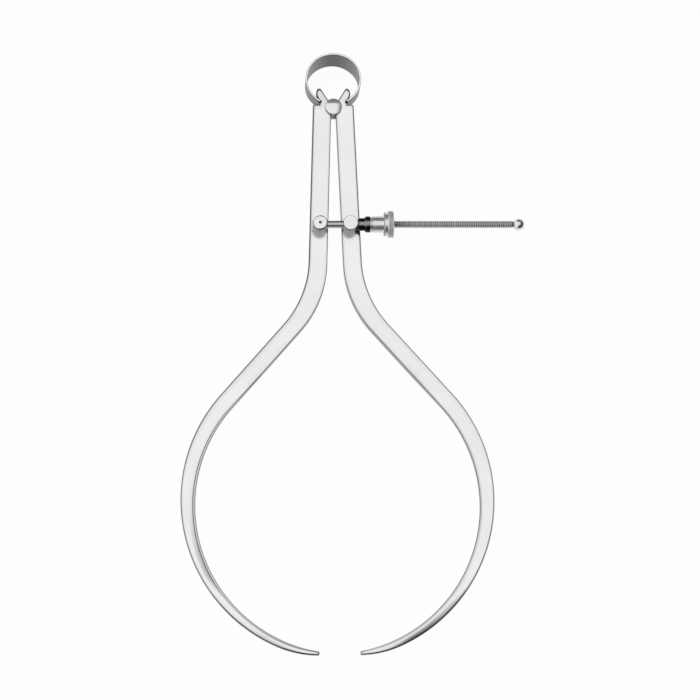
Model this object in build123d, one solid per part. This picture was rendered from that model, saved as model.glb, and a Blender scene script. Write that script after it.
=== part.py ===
from build123d import *
import math
import os

# Outside spring caliper, 6 inch size, lying on its back with its front face up.
# Millimetres. +Z is the front, +Y runs from the tips to the spring, +X towards the adjusting nut.
# The shapes are drawn about the fulcrum's axis, and place() then moves the origin to the
# middle of the spring's loop, which hangs on a peg.

# Legs, drawn closed with the tips together, then opened to the pose in which they rest
leg_thickness = 3.2
edge_break = 0.32
rest_half_angle = 2.05
bar_inner = 0.6
bar_outer = 5.8
diagonal_angle = 39.3
outer_bend_radius = 29.0
inner_bend_radius = 30.0
outer_bow_radius = 43.4
outer_bow_centre = (-4.73, -110.92)
bow_narrowing = 3.25
bow_centre_shift = (-0.77, -1.48)
tip_arc_radius = 28.6
tip_thickness = 1.04
tip_half_gap = 0.03
tip_round = 0.45

# Inner bevels of the bow, one in front and one behind, widest half way down the bow
bevel_land = 0.7
bevel_shift = 0.75
bevel_angle = -25.0
bevel_overrun = 0.5

# Top of a leg: shoulder, seat for the spring's end, and horn
shoulder_height = 0.75
shoulder_round = 0.35
horn_neck = (4.0, 1.95)
horn_bulge = (4.9, 3.4)
horn_tip = (4.5, 5.7)
horn_round = 0.42
horn_gap_angle = 33.5
horn_gap_offset = 0.05

# Bow spring: a four-arc oval loop, seen from the front, whose strip narrows towards its ends
loop_height = 7.71
loop_half_height = 7.09
loop_half_width = 7.6
loop_end_angle = 29.75
strip_thickness = 0.5
strip_width = 9.5
strip_end_width = 5.3
strip_full_above = 5.0
strip_edge_break = 0.1
rim_bend_radius = 18.0
seat_clearance = 0.08

# Fulcrum stud, a spool with domed heads
stud_waist_radius = 1.1
stud_head_radius = 2.33
stud_head_rim = 0.9
stud_head_dome = 0.4

# Posts, which swivel in the legs and stand up in front of them
post_place = (2.95, -35.1)
post_radius = 2.05
post_height = 4.8
screw_post_chamfer = 0.3
nut_post_chamfer = 0.08
post_shank_radius = 1.2
post_washer_radius = 2.0
post_washer_thickness = 0.5
rivet_radius = 1.65
rivet_height = 0.4
pivot_clearance = 0.04
running_gap = 0.02

# Adjusting screw, its lock pin and the ball on its end
screw_height = 2.5
screw_shank_radius = 1.05
screw_shank_length = 8.1
screw_thread_radius = 1.03
screw_end_stand_out = 0.25
screw_end_chamfer = 0.25
screw_clearance = 0.05
seat_fit = 0.01
ball_radius = 1.65
ball_distance = 55.5
ball_neck_radius = 0.7
ball_neck_length = 0.35
ball_socket_depth = 1.3
ball_flat = 0.2
pin_radius = 0.35
pin_below_face = 0.15
pin_past_screw = 0.3

# Nut ferrule, measured along the screw from the nut post's axis
ferrule_start = 2.3
ferrule_flare_start = 3.85
ferrule_flare_end = 4.4
ferrule_end = 5.42
ferrule_nose_radius = 1.78
ferrule_rim_radius = 2.28
ferrule_boss_radius = 1.45
ferrule_bore_radius = 1.2
ferrule_cone_start = 2.9
ferrule_cone_radius = 1.9

# Split nut: a tapered, slotted nose in the ferrule's cone, a collar, and a body in the sleeve
nut_clearance = 0.05
nut_nose_start = 3.2
nut_collar_gap = 0.04
nut_collar_radius = 2.15
nut_collar_width = 0.52
nut_groove_width = 0.12
nut_body_radius = 1.62
nut_body_short_of_end = 0.15
nut_slot_width = 0.35
nut_slot_end = 8.6

# Sleeve with the knurled flange
sleeve_radius = 2.2
sleeve_end = 9.3
flange_step_radius = 3.37
flange_step_end = 10.35
flange_radius = 3.74
flange_end = 12.05
flange_chamfer = 0.25

# Derived sizes
leg_front = leg_thickness / 2
inner_bow_radius = outer_bow_radius - bow_narrowing
inner_bow_centre = (outer_bow_centre[0] + bow_centre_shift[0], outer_bow_centre[1] + bow_centre_shift[1])
loop_centre_shift = (loop_half_width - loop_half_height) / (2 - math.sqrt(2))
loop_side_radius = loop_half_width - loop_centre_shift
loop_crown_radius = loop_half_height + loop_centre_shift
loop_end_x = loop_crown_radius * math.sin(math.radians(loop_end_angle))
loop_end_y = loop_height + loop_centre_shift - loop_crown_radius * math.cos(math.radians(loop_end_angle))
screw_axis_height = leg_front + screw_height
post_top = leg_front + post_height
post_reach = math.hypot(post_place[0], post_place[1])
post_rest_angle = math.degrees(math.atan2(post_place[0], -post_place[1])) + rest_half_angle
post_x = post_reach * math.sin(math.radians(post_rest_angle))
post_y = -post_reach * math.cos(math.radians(post_rest_angle))
full_turn = 360.0


def place(shape):
    # From the fulcrum's axis to the middle of the spring's loop
    return Pos(0, -loop_height, 0) * shape


def polar(radius, angle):
    return Vector(radius * math.cos(math.radians(angle)), radius * math.sin(math.radians(angle)))


def angle_of(vector):
    return math.degrees(math.atan2(vector.Y, vector.X))


def tangent_centre(centre, radius, through, small_radius):
    # Centre of the circle that passes through a point and touches the larger circle from inside
    between = through - centre
    reach = radius - small_radius
    along = (reach ** 2 - small_radius ** 2 + between.length ** 2) / (2 * between.length)
    aside = math.sqrt(reach ** 2 - along ** 2)
    unit = between.normalized()
    return centre + unit * along + Vector(-unit.Y, unit.X) * aside


def bent_edge(bar_x, bend_radius, bow_centre, bow_radius):
    # Straight bar, bend and diagonal of one edge: the bend's start, middle and end, and the
    # point where the diagonal runs into the bow
    along = Vector(math.sin(math.radians(diagonal_angle)), -math.cos(math.radians(diagonal_angle)))
    bow_start = Vector(*bow_centre) + polar(bow_radius, diagonal_angle)
    corner = bow_start - along * ((bow_start.X - bar_x) / along.X)
    bend_length = bend_radius * math.tan(math.radians(diagonal_angle / 2))
    bend_start = Vector(bar_x, corner.Y + bend_length)
    bend_centre = bend_start + Vector(bend_radius, 0)
    bend_middle = bend_centre - polar(bend_radius, diagonal_angle / 2)
    return bend_start, bend_middle, corner + along * bend_length, bow_start


def leg_outline():
    # Outer edge, from the shoulder down to the tip
    outer = bent_edge(bar_outer, outer_bend_radius, outer_bow_centre, outer_bow_radius)
    centre = Vector(*outer_bow_centre)
    inner_centre = Vector(*inner_bow_centre)
    inner_tip_angle = -math.degrees(math.acos((tip_half_gap - inner_centre.X) / inner_bow_radius))
    tip_inner = inner_centre + polar(inner_bow_radius, inner_tip_angle)
    tip_outer = tip_inner - Vector(0, tip_thickness)
    tip_centre = tangent_centre(centre, outer_bow_radius, tip_outer, tip_arc_radius)
    bow_end_angle = angle_of(tip_centre - centre)
    bow_end = centre + polar(outer_bow_radius, bow_end_angle)
    bow_middle = centre + polar(outer_bow_radius, (diagonal_angle + bow_end_angle) / 2)
    tip_angle = (angle_of(tip_outer - tip_centre) + bow_end_angle) / 2
    tip_middle = tip_centre + polar(tip_arc_radius, tip_angle)

    # Inner edge, from the tip up to the bar
    inner = bent_edge(bar_inner, inner_bend_radius, inner_bow_centre, inner_bow_radius)
    inner_middle = inner_centre + polar(inner_bow_radius, (diagonal_angle + inner_tip_angle) / 2)

    # Horn, whose inner edge slopes up from the fulcrum
    slope = math.tan(math.radians(horn_gap_angle))
    gap_start = Vector(bar_inner, (bar_inner - horn_gap_offset) / slope)
    gap_end = Vector(horn_gap_offset + horn_tip[1] * slope, horn_tip[1])
    neck = Vector(*horn_neck)
    neck_foot = Vector(horn_neck[0], shoulder_height)
    shoulder = Vector(bar_outer, shoulder_height)

    edges = [
        Line(shoulder, outer[0]),
        ThreePointArc(outer[0], outer[1], outer[2]),
        Line(outer[2], outer[3]),
        ThreePointArc(outer[3], bow_middle, bow_end),
        ThreePointArc(bow_end, tip_middle, tip_outer),
        Line(tip_outer, tip_inner),
        ThreePointArc(tip_inner, inner_middle, inner[3]),
        Line(inner[3], inner[2]),
        ThreePointArc(inner[2], inner[1], inner[0]),
        Line(inner[0], gap_start),
        Line(gap_start, gap_end),
        Line(gap_end, Vector(*horn_tip)),
        ThreePointArc(Vector(*horn_tip), Vector(*horn_bulge), neck),
        Line(neck, neck_foot),
        Line(neck_foot, shoulder),
    ]
    outline = make_face(edges)
    outline = round_corners(outline, [tip_outer, tip_inner], tip_round)
    outline = round_corners(outline, [gap_end, Vector(*horn_tip)], horn_round)
    return round_corners(outline, [shoulder], shoulder_round)


def round_corners(face, corners, radius):
    chosen = [min(face.vertices(), key=lambda v: (Vector(v.X, v.Y) - c).length) for c in corners]
    return fillet(chosen, radius)


def inner_bevel():
    # Slanted cone that takes the front inner edge off the bow and runs out at both its ends
    rise = (leg_front - bevel_land / 2 + bevel_overrun) / (leg_front - bevel_land / 2)
    low = Pos(inner_bow_centre[0], inner_bow_centre[1], bevel_land / 2)
    shift = polar(bevel_shift * rise, bevel_angle)
    top_x = inner_bow_centre[0] + shift.X
    top_y = inner_bow_centre[1] + shift.Y
    high = Pos(top_x, top_y, leg_front + bevel_overrun)
    low_circle = low * Circle(inner_bow_radius - seat_fit)
    high_circle = high * Circle(inner_bow_radius)
    return loft([low_circle, high_circle])


def spring_seat():
    # Round groove in the horn's foot, in which the strip's round end turns
    groove = Circle(strip_thickness / 2 + seat_clearance)
    return Pos(loop_end_x, loop_end_y) * extrude(groove, leg_thickness, both=True)


def right_leg():
    leg = extrude(leg_outline(), leg_thickness / 2, both=True)
    rims = leg.edges().filter_by(lambda e: abs(abs(e.center().Z) - leg_front) < edge_break / 2)
    leg = chamfer(rims, edge_break)
    bevel = inner_bevel()
    leg -= bevel
    leg -= mirror(bevel, about=Plane.XY)
    leg -= Cylinder(stud_waist_radius + pivot_clearance, leg_thickness * 2)
    hole = Cylinder(post_shank_radius + pivot_clearance, leg_thickness * 2)
    leg -= Pos(post_place[0], post_place[1]) * hole
    leg = Rot(0, 0, rest_half_angle) * leg
    return leg - spring_seat()


def loop_arcs(offset):
    # The oval from its right end over the top to its left end, moved outwards by the offset
    middle = Vector(0, loop_height)
    right = middle + Vector(loop_centre_shift, 0)
    left = middle - Vector(loop_centre_shift, 0)
    above = middle + Vector(0, loop_centre_shift)
    below = middle - Vector(0, loop_centre_shift)
    crown = loop_crown_radius + offset
    side = loop_side_radius + offset
    quarter = full_turn / 4
    joint = quarter / 2
    end = loop_end_angle - quarter
    half = (end - joint) / 2
    return [
        ThreePointArc(above + polar(crown, end), above + polar(crown, half), above + polar(crown, -joint)),
        ThreePointArc(right + polar(side, -joint), right + polar(side, 0), right + polar(side, joint)),
        ThreePointArc(below + polar(crown, joint), below + polar(crown, quarter),
                      below + polar(crown, quarter + joint)),
        ThreePointArc(left + polar(side, quarter + joint), left + polar(side, quarter * 2),
                      left + polar(side, quarter * 2 + joint)),
        ThreePointArc(above + polar(crown, quarter * 2 + joint), above + polar(crown, quarter * 2 - half),
                      above + polar(crown, quarter * 2 - end)),
    ]


def strip_width_cut():
    # Side view of the loop, as broad as the strip is wide at each height, drawn across the loop
    top = loop_height + loop_half_height + strip_thickness
    kink = loop_height + strip_full_above
    wide = strip_width / 2
    narrow = strip_end_width / 2
    low = loop_end_y - strip_thickness
    # The bend between slope and full width ends below the loop's inner top
    level = loop_height + loop_half_height - strip_thickness / 2 - strip_edge_break - kink
    longest = level / math.tan(math.atan((wide - narrow) / (kink - low)) / 2)
    view = make_face(Polyline((top, wide), (kink, wide), (low, narrow), (low, -narrow), (kink, -wide),
                              (top, -wide), close=True))
    view = round_corners(view, [Vector(kink, wide), Vector(kink, -wide)], min(rim_bend_radius, longest))
    return extrude(Plane.YZ * view, loop_half_width + strip_thickness, both=True)


def bow_spring():
    outer = loop_arcs(strip_thickness / 2)
    inner = loop_arcs(-strip_thickness / 2)
    strip = make_face(outer + inner + [Line(outer[0] @ 0, inner[0] @ 0), Line(outer[4] @ 1, inner[4] @ 1)])
    for side in (1, -1):
        strip += Pos(side * loop_end_x, loop_end_y) * Circle(strip_thickness / 2)
    spring = extrude(strip, strip_width, both=True) & strip_width_cut()
    inside = strip_end_width / 2 - strip_edge_break
    rims = spring.edges().filter_by(lambda e: abs(e.center().Z) > inside and e.length > strip_thickness * 2)
    return chamfer(rims, strip_edge_break)


def fulcrum_stud():
    stud = Cylinder(stud_waist_radius, leg_thickness + running_gap * 2)
    head = domed_head(stud_head_radius, stud_head_rim, stud_head_dome)
    head = Pos(0, 0, leg_front + running_gap) * head
    return stud + head + mirror(head, about=Plane.XY)


def domed_head(radius, rim, dome):
    # Disc with a shallow dome, standing on z = 0
    profile = make_face([
        Line((0, 0), (radius, 0)),
        Line((radius, 0), (radius, rim)),
        ThreePointArc((radius, rim), dome_point(radius, rim, dome), (0, rim + dome)),
        Line((0, rim + dome), (0, 0)),
    ])
    return revolve(Plane.XZ * profile, Axis.Z)


def dome_point(radius, rim, dome):
    # Half way along the dome's arc, whose centre lies on the axis
    ball = (radius * radius + dome * dome) / (2 * dome)
    half = math.asin(radius / ball) / 2
    return (ball * math.sin(half), rim + dome - ball + ball * math.cos(half))


def post(chamfer_size, bore_radius):
    body = extrude(Circle(post_radius), post_height - running_gap)
    body = chamfer(body.edges().sort_by(Axis.Z)[-1], chamfer_size)
    body = Pos(0, 0, leg_front + running_gap) * body
    rear = leg_front + running_gap * 2 + post_washer_thickness
    shank = extrude(Circle(post_shank_radius), leg_front + running_gap + rear)
    rivet = extrude(Circle(rivet_radius), -rivet_height)
    body += Pos(0, 0, -rear) * (shank + rivet)
    bore = Rot(0, 90, 0) * Cylinder(bore_radius, post_radius * 4)
    return body - Pos(0, 0, screw_axis_height) * bore


def post_washer():
    ring = Circle(post_washer_radius) - Circle(post_shank_radius + running_gap)
    washer = extrude(ring, post_washer_thickness)
    low = leg_front + running_gap + post_washer_thickness
    return Pos(0, 0, -low) * washer


def lock_pin_solid(radius):
    top = post_top - pin_below_face
    bottom = screw_axis_height - screw_shank_radius - pin_past_screw
    return Pos(0, 0, bottom) * extrude(Circle(radius), top - bottom)


def screw_post():
    bored = post(screw_post_chamfer, screw_shank_radius + seat_fit)
    depth = post_top + pin_below_face
    return bored - lock_pin_solid(pin_radius + seat_fit) - extrude(Pos(0, 0, screw_axis_height) * Circle(
        pin_radius + seat_fit), depth - screw_axis_height)


def along_screw(profile_points):
    # Turns a closed profile of (distance along the screw, radius) points about the screw's axis
    profile = make_face(Polyline(*profile_points, close=True))
    return Pos(0, 0, screw_axis_height) * revolve(profile, Axis.X)


def adjusting_screw():
    # Drawn about the screw post, with the thread at its full outer radius
    start = -post_radius - screw_end_stand_out
    neck_start = ball_distance - ball_radius - ball_neck_length
    end = ball_distance - ball_radius + ball_socket_depth
    screw = along_screw([
        (start, 0),
        (start, screw_shank_radius - screw_end_chamfer),
        (start + screw_end_chamfer, screw_shank_radius),
        (screw_shank_length, screw_shank_radius),
        (screw_shank_length, screw_thread_radius),
        (neck_start, screw_thread_radius),
        (neck_start, ball_neck_radius),
        (end, ball_neck_radius),
        (end, 0),
    ])
    return screw - lock_pin_solid(pin_radius + seat_fit)


def stop_ball():
    ball = Sphere(ball_radius) - Pos(-ball_radius * 2 + ball_flat, 0, 0) * Box(
        ball_radius * 2, ball_radius * 2, ball_radius * 2)
    socket = Rot(0, 90, 0) * Cylinder(ball_neck_radius + seat_fit, ball_socket_depth + seat_fit,
                                      align=(Align.CENTER, Align.CENTER, Align.MIN))
    ball -= Pos(-ball_radius, 0, 0) * socket
    return Pos(ball_distance, 0, screw_axis_height) * ball


def nut_ferrule():
    # Waisted outside, a cone inside for the split nut's nose, and a boss saddled on the post
    ferrule = along_screw([
        (0, ferrule_bore_radius),
        (0, ferrule_boss_radius),
        (ferrule_start, ferrule_boss_radius),
        (ferrule_start, ferrule_nose_radius),
        (ferrule_flare_start, ferrule_nose_radius),
        (ferrule_flare_end, ferrule_rim_radius),
        (ferrule_end, ferrule_rim_radius),
        (ferrule_end, ferrule_cone_radius),
        (ferrule_cone_start, ferrule_bore_radius),
    ])
    saddle = Cylinder(post_radius + running_gap, post_top * 4)
    return ferrule - saddle


def cone_radius_at(distance):
    share = (distance - ferrule_cone_start) / (ferrule_end - ferrule_cone_start)
    return ferrule_bore_radius + (ferrule_cone_radius - ferrule_bore_radius) * share


def split_nut():
    bore = screw_thread_radius + nut_clearance
    collar = ferrule_end + nut_collar_gap
    groove = collar + nut_collar_width
    end = flange_end - nut_body_short_of_end
    nut = along_screw([
        (nut_nose_start, bore),
        (nut_nose_start, cone_radius_at(nut_nose_start) - nut_clearance),
        (collar, cone_radius_at(collar) - nut_clearance),
        (collar, nut_collar_radius),
        (groove, nut_collar_radius),
        (groove, nut_body_radius),
        (end, nut_body_radius),
        (end, bore),
    ])
    slot_length = nut_slot_end - nut_nose_start
    slot = Box(slot_length, nut_collar_radius * 3, nut_slot_width, align=(Align.MIN, Align.CENTER, Align.CENTER))
    return nut - Pos(nut_nose_start, 0, screw_axis_height) * slot


def nut_sleeve():
    start = ferrule_end + nut_collar_gap + nut_collar_width + nut_groove_width
    bore = nut_body_radius + seat_fit
    return along_screw([
        (start, bore),
        (start, sleeve_radius),
        (sleeve_end, sleeve_radius),
        (sleeve_end, flange_step_radius - flange_chamfer),
        (sleeve_end + flange_chamfer, flange_step_radius),
        (flange_step_end, flange_step_radius),
        (flange_step_end, flange_radius - flange_chamfer),
        (flange_step_end + flange_chamfer, flange_radius),
        (flange_end - flange_chamfer, flange_radius),
        (flange_end, flange_radius - flange_chamfer),
        (flange_end, bore),
    ])


def at_screw_post(shape):
    return Pos(-post_x, post_y, 0) * shape


def at_nut_post(shape):
    return Pos(post_x, post_y, 0) * shape


leg = right_leg()
parts = {
    "left_leg": mirror(leg, about=Plane.YZ),
    "right_leg": leg,
    "bow_spring": bow_spring(),
    "fulcrum_stud": fulcrum_stud(),
    "screw_post": at_screw_post(screw_post()),
    "screw_post_washer": at_screw_post(post_washer()),
    "lock_pin": at_screw_post(lock_pin_solid(pin_radius)),
    "adjusting_screw": at_screw_post(adjusting_screw()),
    "stop_ball": at_screw_post(stop_ball()),
    "nut_post": at_nut_post(post(nut_post_chamfer, screw_shank_radius + screw_clearance)),
    "nut_post_washer": at_nut_post(post_washer()),
    "nut_ferrule": at_nut_post(nut_ferrule()),
    "split_nut": at_nut_post(split_nut()),
    "nut_sleeve": at_nut_post(nut_sleeve()),
}

os.makedirs("parts", exist_ok=True)
for name, shape in parts.items():
    export_step(place(shape), "parts/" + name + ".step")
print("fulcrum", (0, round(-loop_height, 4), 0))
print("posts", round(post_x, 4), round(post_y - loop_height, 4), "screw height", round(screw_axis_height, 4))
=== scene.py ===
import math

import bmesh
import bpy
import numpy as np
from mathutils import Matrix, Vector
from mathutils.geometry import delaunay_2d_cdt


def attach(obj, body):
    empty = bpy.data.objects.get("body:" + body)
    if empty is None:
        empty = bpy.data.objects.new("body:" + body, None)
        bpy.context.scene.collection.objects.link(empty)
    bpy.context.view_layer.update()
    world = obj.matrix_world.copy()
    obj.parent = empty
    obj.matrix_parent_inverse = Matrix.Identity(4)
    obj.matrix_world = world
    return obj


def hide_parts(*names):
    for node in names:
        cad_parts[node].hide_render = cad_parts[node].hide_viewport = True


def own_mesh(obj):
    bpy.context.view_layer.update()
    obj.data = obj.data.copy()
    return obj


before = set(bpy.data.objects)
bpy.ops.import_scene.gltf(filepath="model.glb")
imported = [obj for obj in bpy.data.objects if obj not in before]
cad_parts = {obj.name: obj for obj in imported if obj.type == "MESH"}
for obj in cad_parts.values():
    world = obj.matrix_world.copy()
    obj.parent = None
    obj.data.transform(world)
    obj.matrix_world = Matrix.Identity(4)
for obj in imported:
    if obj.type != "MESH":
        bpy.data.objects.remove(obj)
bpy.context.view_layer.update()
print("frame loaded:", len(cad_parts), "nodes")

mm = 0.001  # sizes below are in millimetres, meshes are in metres
fulcrumY = -7.71  # the legs' hinge, below the middle of the spring's loop
screwY, screwZ = -42.682, 4.1  # the adjusting screw's axis
postX = 4.2037  # the two posts stand this far from the middle
upright, across = "Z", "X"  # axes that turned pieces can lie on


# Small helpers

shading = {"sharpAngle": 38, "faceWeight": 60}


def addNode(tree, kind, inputs=None, **settings):
    node = tree.nodes.new(kind)
    for key, value in settings.items():
        setattr(node, key, value)
    for key, value in (inputs or {}).items():
        if isinstance(value, bpy.types.NodeSocket):
            tree.links.new(value, node.inputs[key])
        else:
            node.inputs[key].default_value = value
    return node


def nodeOut(tree, kind, inputs=None, socket=0, **settings):
    return addNode(tree, kind, inputs, **settings).outputs[socket]


def calc(tree, operation, a, b=0.0, c=0.0):
    return nodeOut(tree, "ShaderNodeMath", {0: a, 1: b, 2: c}, operation=operation)


def mapRange(tree, value, first, last, low=0.0, high=1.0, **settings):
    return nodeOut(tree, "ShaderNodeMapRange", {
        "Value": value, "From Min": first, "From Max": last, "To Min": low, "To Max": high}, **settings)


def splitVector(tree, vector):
    return addNode(tree, "ShaderNodeSeparateXYZ", {0: vector}).outputs


def joinVector(tree, x=0.0, y=0.0, z=0.0):
    return nodeOut(tree, "ShaderNodeCombineXYZ", {0: x, 1: y, 2: z})


def mixColours(tree, factor, first, second):
    return nodeOut(tree, "ShaderNodeMix", {"Factor": factor, 6: first, 7: second}, socket=2, data_type="RGBA")


def newPiece(name, bm):
    mesh = bpy.data.meshes.new(name)
    bmesh.ops.recalc_face_normals(bm, faces=bm.faces)
    bm.to_mesh(mesh)
    bm.free()
    piece = bpy.data.objects.new(name, mesh)
    bpy.context.scene.collection.objects.link(piece)
    return piece


def applyModifiers(piece):
    graph = bpy.context.evaluated_depsgraph_get()
    made = bpy.data.meshes.new_from_object(piece.evaluated_get(graph), preserve_all_data_layers=True,
                                           depsgraph=graph)
    piece.modifiers.clear()
    piece.data = made
    made.name = piece.name


def cutAway(piece, cutter):
    cut = piece.modifiers.new("cut", "BOOLEAN")
    cut.operation, cut.solver, cut.object = "DIFFERENCE", "EXACT", cutter
    applyModifiers(piece)
    bpy.data.objects.remove(cutter)


def smoothShade(piece, sharpAngle=shading["sharpAngle"]):
    # broad faces keep their own direction, only the narrow edge rounds blend
    piece.data.shade_smooth()
    piece.data.set_sharp_from_angle(angle=math.radians(sharpAngle))
    weight = piece.modifiers.new("weight", "WEIGHTED_NORMAL")
    weight.weight, weight.keep_sharp = shading["faceWeight"], True
    applyModifiers(piece)


def joinPieces(pieces):
    first = pieces[0]
    with bpy.context.temp_override(active_object=first, selected_editable_objects=pieces,
                                   selected_objects=pieces, object=first):
        bpy.ops.object.join()
    return first


def addVert(bm, shadeLayer, place, shade):
    vert = bm.verts.new(place)
    vert[shadeLayer] = shade
    return vert


def skin(bm, low, high):
    # faces between two rings, one of which may be a single point
    count = max(len(low), len(high))
    for i in range(count):
        j = (i + 1) % count
        if len(low) == 1:
            bm.faces.new((low[0], high[j], high[i]))
        elif len(high) == 1:
            bm.faces.new((low[i], low[j], high[0]))
        else:
            bm.faces.new((low[i], low[j], high[j], high[i]))


def writeGrain(bm, uvOf):
    layer = bm.loops.layers.uv.new("grain")
    for face in bm.faces:
        for corner in face.loops:
            corner[layer].uv = uvOf(corner.vert)


def fitPiece(piece, node, body, material):
    piece.data.materials.clear()
    piece.data.materials.append(material)
    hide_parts(node)
    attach(piece, body)


# Steel finishes: colour with faint clouds, cutting or grinding marks in roughness and bump; the mesh
# attribute "shade" paints shade, darkening edges, walls and grooves towards the look's shadeColour

steelNoise = {
    "grainDetail": 3.0, "grainRoughness": 0.6, "cloudDetail": 4.0, "spread": (0.3, 0.7), "height": 0.02,
}


def marksAlong(tree, look):
    # grinding marks that follow the legs, on a UV map in millimetres
    uv = nodeOut(tree, "ShaderNodeUVMap", uv_map="grain")
    return nodeOut(tree, "ShaderNodeMapping", {
        "Vector": uv, "Scale": (1 / look["markWidth"], 1 / look["markLength"], 1)})


def marksTurned(tree, look):
    # lathe marks round an axis through look["centre"]
    where = nodeOut(tree, "ShaderNodeTexCoord", socket="Object")
    x, y, z = splitVector(tree, nodeOut(tree, "ShaderNodeMapping", {
        "Vector": where, "Location": tuple(-c * mm for c in look["centre"])}))
    flat, along = ((x, y), z) if look["axis"] == upright else ((y, z), x)
    radial = nodeOut(tree, "ShaderNodeVectorMath", {0: joinVector(tree, *flat)}, "Value", operation="LENGTH")
    scale = 1 / (look["markWidth"] * mm)
    return nodeOut(tree, "ShaderNodeMapping", {
        "Vector": joinVector(tree, radial, along), "Scale": (scale, scale, 1)})


def steel(name, look):
    material = bpy.data.materials.new(name)
    material.use_nodes = True
    tree = material.node_tree
    shader = tree.nodes["Principled BSDF"]
    shader.inputs["Metallic"].default_value = 1.0
    marks = (marksTurned if "axis" in look else marksAlong)(tree, look)
    grain = nodeOut(tree, "ShaderNodeTexNoise", {
        "Vector": marks, "Scale": 1.0, "Detail": steelNoise["grainDetail"],
        "Roughness": steelNoise["grainRoughness"]})
    where = nodeOut(tree, "ShaderNodeTexCoord", socket="Object")
    clouds = nodeOut(tree, "ShaderNodeTexNoise", {
        "Vector": where, "Scale": 1 / (look["cloudSize"] * mm), "Detail": steelNoise["cloudDetail"]})
    tint = mapRange(tree, clouds, *steelNoise["spread"])
    plain = mixColours(tree, tint, (*look["cloudColour"], 1), (*look["colour"], 1))
    shade = nodeOut(tree, "ShaderNodeAttribute", socket="Fac", attribute_name="shade")
    # painted shade: the colour goes towards shadeColour where the mesh attribute "shade" is high
    paintedShadeColour = mixColours(tree, shade, plain, (*look["shadeColour"], 1))
    tree.links.new(paintedShadeColour, shader.inputs["Base Color"])
    rough = mapRange(tree, grain, *steelNoise["spread"], *look["roughness"])
    tree.links.new(rough, shader.inputs["Roughness"])
    bump = nodeOut(tree, "ShaderNodeBump", {
        "Height": grain, "Strength": look["markDepth"], "Distance": steelNoise["height"] * mm})
    tree.links.new(bump, shader.inputs["Normal"])
    return material


# Flat plates: an outline with holes, rounded or bevelled along its edges

# the soft corners' and the slope's shares, and the crown's steps, power and shade
edgeShape = {
    "cornerShare": 0.42, "slopeShare": 0.3, "cornerSteps": 3, "crownSteps": (0.15, 0.45, 0.8, 1.0),
    "crownPower": 1.2, "crownShade": 0.8, "shadeReach": 0.25, "footShade": 0.9, "mitreLimit": 0.5,
}
plateMaking = {"seedGap": 0.3, "weld": 1e-6, "tiny": 1e-12, "farAway": 1e9}


def bezier(a, corner, b, steps):
    out = []
    for k in range(steps + 1):
        t = k / steps
        out.append(tuple((1 - t) ** 2 * a[i] + 2 * t * (1 - t) * corner[i] + t * t * b[i] for i in (0, 1)))
    return out


def edgeProfile(half, soft, edge):
    # (inset, height, shade) from the middle of the edge up to the face: wall, soft corner, slope, soft
    # corner, and a crown that runs out into the face; "wall", "slope" and "paint" say how much painted shade
    # the wall, the slope and its upper corner get
    e = edgeShape
    width, rise, run, drop, paint = (edge[key] for key in ("width", "rise", "crown", "drop", "paint"))
    land = half - drop - rise
    slope = math.hypot(width, rise)
    first = min(soft, slope * e["cornerShare"])
    foot = (width * first / slope, land + rise * first / slope)
    above = (foot[0] + (width - 2 * foot[0]) * e["slopeShare"],
             foot[1] + (rise - 2 * (foot[1] - land)) * e["slopeShare"])
    brow = (width - width * first / slope, half - drop - rise * first / slope)
    crown = [(width + run * u, half - drop * (1 - u) ** e["crownPower"]) for u in e["crownSteps"]]
    points = bezier((0, land - first), (0, land), foot, e["cornerSteps"]) + [above]
    points += bezier(brow, (width, half - drop), crown[0], e["cornerSteps"]) + crown[1:]
    shades = [edge["wall"], 1.0, 1.0, e["footShade"], edge["slope"],
              0.5 * (paint + min(paint, edge["slope"])), paint, paint]
    shades += [e["crownShade"] * paint * max(0.0, 1 - run * u / e["shadeReach"]) for u in e["crownSteps"]]
    return [(inset, z, shade) for (inset, z), shade in zip(points, shades)]


def insetNormals(points):
    # unit mitres that point into the material, which lies to the right of the path
    p = np.array(points)
    before = p - np.roll(p, 1, axis=0)
    after = np.roll(p, -1, axis=0) - p
    before /= np.linalg.norm(before, axis=1)[:, None]
    after /= np.linalg.norm(after, axis=1)[:, None]
    n1 = np.stack([before[:, 1], -before[:, 0]], axis=1)
    n2 = np.stack([after[:, 1], -after[:, 0]], axis=1)
    mitre = n1 + n2
    mitre /= np.linalg.norm(mitre, axis=1)[:, None]
    stretch = 1 / np.clip((mitre * n1).sum(axis=1), edgeShape["mitreLimit"], 1)
    return mitre * stretch[:, None]


def insidePath(path, xy):
    # even-odd test of many points against one closed path
    a, b = np.array(path), np.roll(np.array(path), -1, axis=0)
    x, y = xy[:, 0][:, None], xy[:, 1][:, None]
    crosses = (a[:, 1] > y) != (b[:, 1] > y)
    rise = np.where(b[:, 1] == a[:, 1], plateMaking["tiny"], b[:, 1] - a[:, 1])
    at = a[:, 0] + (y - a[:, 1]) * (b[:, 0] - a[:, 0]) / rise
    return (crosses & (x < at)).sum(axis=1) % 2 == 1


def distanceToPath(path, xy):
    a, b = np.array(path), np.roll(np.array(path), -1, axis=0)
    best = np.full(len(xy), plateMaking["farAway"])
    for p, q in zip(a, b):
        d = q - p
        t = np.clip(((xy - p) @ d) / max(d @ d, plateMaking["tiny"]), 0, 1)
        best = np.minimum(best, np.linalg.norm(xy - (p + t[:, None] * d), axis=1))
    return best


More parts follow.
